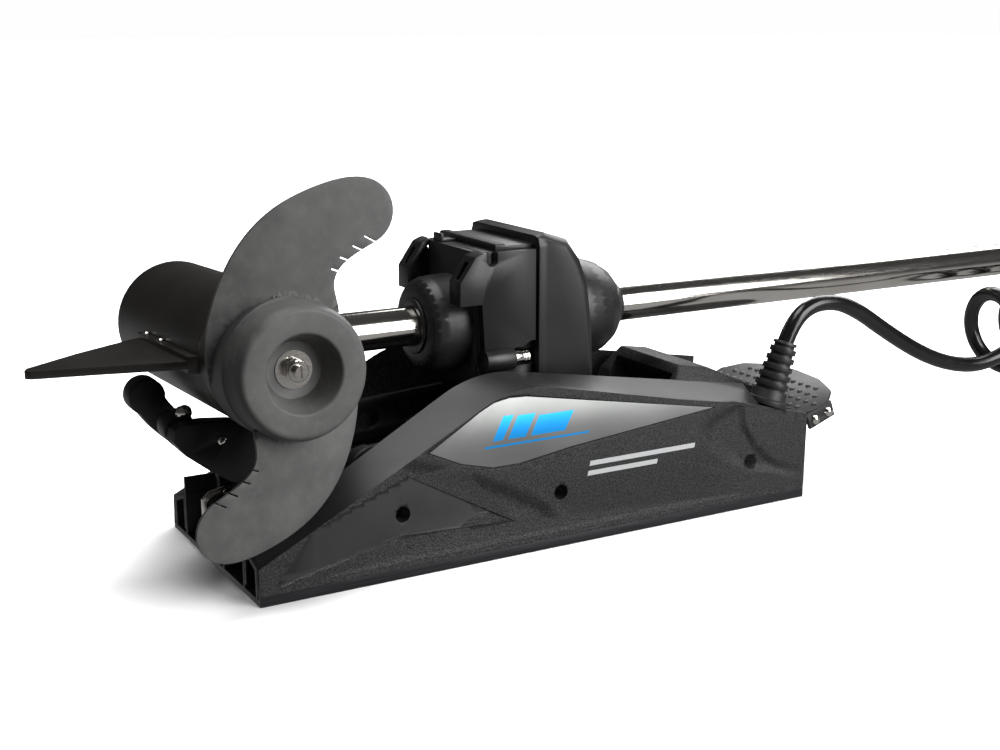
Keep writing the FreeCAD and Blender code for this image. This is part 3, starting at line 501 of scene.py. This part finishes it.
def spline_length(piece):
    """The length of a curve's own line, read from it with no bevel."""
    depth, piece.data.bevel_depth = piece.data.bevel_depth, 0
    line = bpy.data.meshes.new_from_object(piece)
    piece.data.bevel_depth = depth
    at = [v.co for v in line.vertices]
    return sum((b - a).length for a, b in zip(at, at[1:]))


def coil_cord():
    cord = curve_piece("coil_cord", LEAD + coil_points() + TAIL, CORD_D / 2)
    long = spline_length(cord)
    only(cord)
    finish_piece(cord, "cord_lead", "cord_coil", "cord_tail")


coil_cord()

# ---------------------------------------------------------------- side covers
CREASE = [(-150, 92), (-93, 70), (-54, 55), (-14, 34), (10, 9), (13, -30)]
ARC = [(190, 98), (158, 81), (133, 72), (128, 66), (134, 54), (152, 40), (168, 31), (205, 22), (260, 10)]
GROOVE = [(164, 120), (164, 80), (165, 65), (176, 47), (195, 31), (240, 12)]
COVER_X0, COVER_Z0, CELL = -222.5, 5, 3
WALL_INNER, WALL = 77.0, 3.0
TRIANGLE = [(-212, 12), (-185, 43), (-115, 68), (-35, 24), (-121, 29)]


def ease(t):
    t = min(1.0, max(0.0, t))
    return t * t * (3 - 2 * t)


def side_of(line, x, z):
    """Distance from a line of points, above 0 on its right."""
    best = None
    for (ax, az), (bx, bz) in zip(line, line[1:]):
        dx, dz = bx - ax, bz - az
        share = min(1.0, max(0.0, ((x - ax) * dx + (z - az) * dz) / (dx * dx + dz * dz)))
        gap = math.hypot(x - ax - share * dx, z - az - share * dz)
        if best is None or gap < best[0]:
            best = (gap, (x - ax) * dz - (z - az) * dx)
    return best[0] if best[1] > 0 else -best[0]


def sink(x, z):
    """How far the outer wall is drawn in at x, z: under the crease, in the rear channel and at the foot."""
    front = side_of(CREASE, x, z)
    low = 3.4 * ease((front + 3) / 9) * ease((x + 175) / 110) * (0.45 + 0.55 * ease((z + 5) / 45))
    channel = 2.4 * ease((-side_of(ARC, x, z) + 2) / 6) * ease((side_of(GROOVE, x, z) + 1) / 4)
    foot = 2.6 * ease((58 - z) / 58) * ease((-front + 2) / 12) * (1 - ease((x - 120) / 60))
    return low + channel + foot


def within(outline, x, z):
    inside_now = False
    for (ax, az), (bx, bz) in zip(outline, outline[1:] + outline[:1]):
        if (az > z) != (bz > z) and x < (bx - ax) * (z - az) / (bz - az) + ax:
            inside_now = not inside_now
    return inside_now


def pick_edges(piece, wanted):
    bpy.ops.object.mode_set(mode="EDIT")
    mesh = bmesh.from_edit_mesh(piece.data)
    bpy.ops.mesh.select_all(action="DESELECT")
    for edge in mesh.edges:
        edge.select = len(edge.link_faces) == 2 and wanted(edge)
    bmesh.update_edit_mesh(piece.data)


def side_cover(name, side):
    """A cover with a rounded roof edge, a crease, a channel by the cord's seat, grain and smooth bands."""
    piece = copy_of(name)

    def roof_edge(edge):
        a, b = [f.normal for f in edge.link_faces]
        middle = (edge.verts[0].co + edge.verts[1].co) / 2
        wall = max(a.y * side, b.y * side) > 0.9 and abs(middle.y) > 0.0795
        turns_away = min(a.y * side, b.y * side) < 0.8 and edge.calc_face_angle(0) > 0.35
        roof_or_end = max(a.z, b.z) > 0.3 or min(a.x, b.x) < -0.9 or max(a.x, b.x) > 0.9
        foot = middle.z <= 0.0075
        rear_channel = 0.160 < middle.x < 0.2215 and middle.z < 0.066
        return wall and turns_away and roof_or_end and not foot and not rear_channel
    pick_edges(piece, roof_edge)
    bpy.ops.mesh.bevel(offset=4.2 * MM, segments=5, profile=0.5, clamp_overlap=True)
    bpy.ops.mesh.select_all(action="SELECT")
    bpy.ops.mesh.quads_convert_to_tris(ngon_method="BEAUTY")
    cuts = [((COVER_X0 + CELL * k, 0, 0), (1, 0, 0)) for k in range(1, 150)]
    cuts += [((0, 0, COVER_Z0 + CELL * k), (0, 0, 1)) for k in range(1, 38)]
    for place, normal in cuts:
        mesh = bmesh.from_edit_mesh(piece.data)
        for face in mesh.faces:
            face.select = face.normal.y * side > 0.9 and abs(face.calc_center_median().y) > 0.0765
        bmesh.update_edit_mesh(piece.data)
        bpy.ops.mesh.bisect(plane_co=[v * MM for v in place], plane_no=normal)
    bpy.ops.object.mode_set(mode="OBJECT")
    for vertex in piece.data.vertices:
        x, y, z = vertex.co / MM
        depth = ease((abs(y) - WALL_INNER) / WALL) * sink(x, z)
        vertex.co.y -= side * depth * MM
    piece.data.materials.append(FINISHES["cover_plastic"])
    piece.data.materials.append(SMOOTH)
    for face in piece.data.polygons:
        x, y, z = face.center / MM
        flat = face.normal.y * side > 0.85
        roof = not flat and face.normal.z > 0.1
        face.material_index = 1 if roof or (flat and within(TRIANGLE, x, z)) else 0
    smooth(piece, 32)
    return finish_piece(piece, name)


# ---------------------------------------------------------------- propeller
MOTOR_AT = (-199.5, 0, 150)
HUB_SKIN, CLEAR_OF_HUB = 0.0447, 0.0475
ROLL = math.radians(2.5)
OUT = Vector((0, -math.cos(ROLL), math.sin(ROLL)))
OVER = Vector((0, math.sin(ROLL), math.cos(ROLL)))


def propeller():
    """Two moulded blades on a turned hub with a rounded rim and a conical recess."""
    blades = copy_of("propeller")
    bpy.ops.object.mode_set(mode="EDIT")
    mesh = bmesh.from_edit_mesh(blades.data)
    centre = Vector(MOTOR_AT) * MM

    def from_axis(vertex):
        arm = vertex.co - centre
        return (arm - OUT * arm.dot(OUT)).length
    for face in mesh.faces:
        face.select = all(from_axis(v) < HUB_SKIN for v in face.verts)
    bmesh.update_edit_mesh(blades.data)
    bpy.ops.mesh.delete(type="FACE")
    bpy.ops.object.mode_set(mode="OBJECT")

    def free_rim(edge):
        return min(from_axis(v) for v in edge.verts) > CLEAR_OF_HUB and edge.calc_face_angle(0) > 0.7
    pick_edges(blades, free_rim)
    bpy.ops.mesh.bevel(offset=0.9 * MM, segments=3, profile=0.5, clamp_overlap=True)
    bpy.ops.object.mode_set(mode="OBJECT")
    outline = [(92, 30), (73.6, 30), (73.6, 44.8), (97.0, 44.75), (98.2, 43.4), (112, 42.2), (118.2, 39.5),
               (118.2, 24.5), (99.5, 18.0), (98.0, 4.1), (92, 4.1)]
    hub = lathe("hub", rounded(outline, {2: 1.0, 3: 1.0, 6: 3.6, 7: 2.0, 8: 1.2}), MOTOR_AT, OUT, OVER)
    piece = join(hub, blades)
    smooth(piece, 35)
    return finish_piece(piece, "propeller")


def nut_and_collar():
    """The lock nut: a hexagon with its nylon collar."""
    deselect()
    bpy.ops.mesh.primitive_cylinder_add(vertices=6, radius=7.6 * MM, depth=6 * MM)
    nut = bpy.context.object
    apply_modifier(nut, "BEVEL", width=0.5 * MM, segments=2, limit_method="ANGLE", angle_limit=0.5)
    turn = Matrix((OVER, OUT.cross(OVER), OUT)).transposed().to_4x4()
    nut_at = Matrix.Translation((Vector(MOTOR_AT) + OUT * 102.6) * MM)
    nut.data.transform(nut_at @ turn @ Matrix.Rotation(0.4, 4, "Z"))
    collar = [(105.6, 4.1), (105.6, 6.6), (107.6, 6.4), (108.0, 6.0), (108.0, 4.1)]
    piece = join(nut, lathe("collar", collar, MOTOR_AT, OUT, OVER, 48))
    smooth(piece, 35)
    finish_piece(piece, "prop_nut")


# ---------------------------------------------------------------- pedal
PEDAL_EDGE = [(231, -56), (249, -66), (265, -67), (280, -55), (289, -32), (292, 0), (289, 32), (280, 55),
              (265, 67), (249, 66), (231, 56)]
PEDAL_TURN = Matrix.Translation(Vector((231, 0, 52)) * MM) @ Matrix.Rotation(math.radians(-19.8), 4, "Y") @ (
    Matrix.Translation(Vector((-231, 0, -52)) * MM))
STUD_X, STUD_Y, STUD_Z = 238, -60, 55.2
STEP_X, STEP_Y = 9.6, 9.2


def pedal_tread():
    """The pedal with rounded edges and rows of low studs on its tread."""
    plate = copy_of("pedal_plate")
    apply_modifier(plate, "BEVEL", width=1.0 * MM, segments=2, limit_method="ANGLE", angle_limit=0.6)
    deselect()
    bpy.ops.mesh.primitive_cone_add(vertices=4, radius1=3.4 * MM, radius2=2.3 * MM, depth=1.0 * MM,
                                    location=(STUD_X * MM, STUD_Y * MM, STUD_Z * MM))
    studs = bpy.context.object
    bpy.ops.object.transform_apply(location=True, rotation=True, scale=True)
    apply_modifier(studs, "BEVEL", width=0.25 * MM, segments=1, limit_method="ANGLE", angle_limit=0.6)
    apply_modifier(studs, "ARRAY", count=6, use_relative_offset=False, use_constant_offset=True,
                   constant_offset_displace=(STEP_X * MM, 0, 0))
    apply_modifier(studs, "ARRAY", count=14, use_relative_offset=False, use_constant_offset=True,
                   constant_offset_displace=(0, STEP_Y * MM, 0))
    bpy.ops.object.mode_set(mode="EDIT")
    mesh = bmesh.from_edit_mesh(studs.data)
    bpy.ops.mesh.select_all(action="DESELECT")
    for vertex in mesh.verts:
        x, y, z = vertex.co / MM
        stud_x = STUD_X + round((x - STUD_X) / STEP_X) * STEP_X
        stud_y = STUD_Y + round((y - STUD_Y) / STEP_Y) * STEP_Y
        corners = [(stud_x + dx, stud_y + dy) for dx in (-6, 6) for dy in (-6, 6)]
        vertex.select = not all(within(PEDAL_EDGE, *corner) for corner in corners)
    mesh.select_flush_mode()
    bmesh.update_edit_mesh(studs.data)
    bpy.ops.mesh.delete(type="VERT")
    bpy.ops.object.mode_set(mode="OBJECT")
    studs.data.transform(PEDAL_TURN)
    piece = join(plate, studs)
    smooth(piece, 35)
    finish_piece(piece, "pedal_plate")


# ---------------------------------------------------------------- CAD pieces with eased edges
EASE = {
    "base_extrusion": 0.4, "badge_panel_near": 0.4,
    "badge_panel_far": 0.4, "rear_cover": 1.0, "rest_bracket": 0.8, "latch_hooks": 0.3, "pivot_brackets": 0.6,
    "pedal_bracket": 0.5, "swing_arm_near": 0.7, "swing_arm_far": 0.7, "housing_body": 1.0,
    "side_plate_near": 0.8, "side_plate_far": 0.8, "top_plate": 0.6, "rear_cap": 1.2, "rear_dome": 0.8,
    "front_bush": 0.6, "rear_bush": 0.6, "skeg": 1.2, "head_lower": 0.8, "head_upper": 0.8, "rest_saddle": 2.0,
    "rest_hook": 2.0, "motor_end_cap": 0.6, "shaft_socket": 0.6, "strain_relief": 0.5, "latch_plunger": 0.3,
}
ROUND_CASTINGS = ("housing_body", "rear_dome")
for name, edge in EASE.items():
    eased(name, edge, 55 if name in ROUND_CASTINGS else 30)
side_cover("side_cover_near", -1)
side_cover("side_cover_far", 1)
propeller()
nut_and_collar()
pedal_tread()


def repaint():
    """Every CAD node that stays gets its slot's finish."""
    for name, piece in frame["nodes"].items():
        piece.data.materials.clear()
        piece.data.materials.append(FINISHES[SLOT[name]])


repaint()
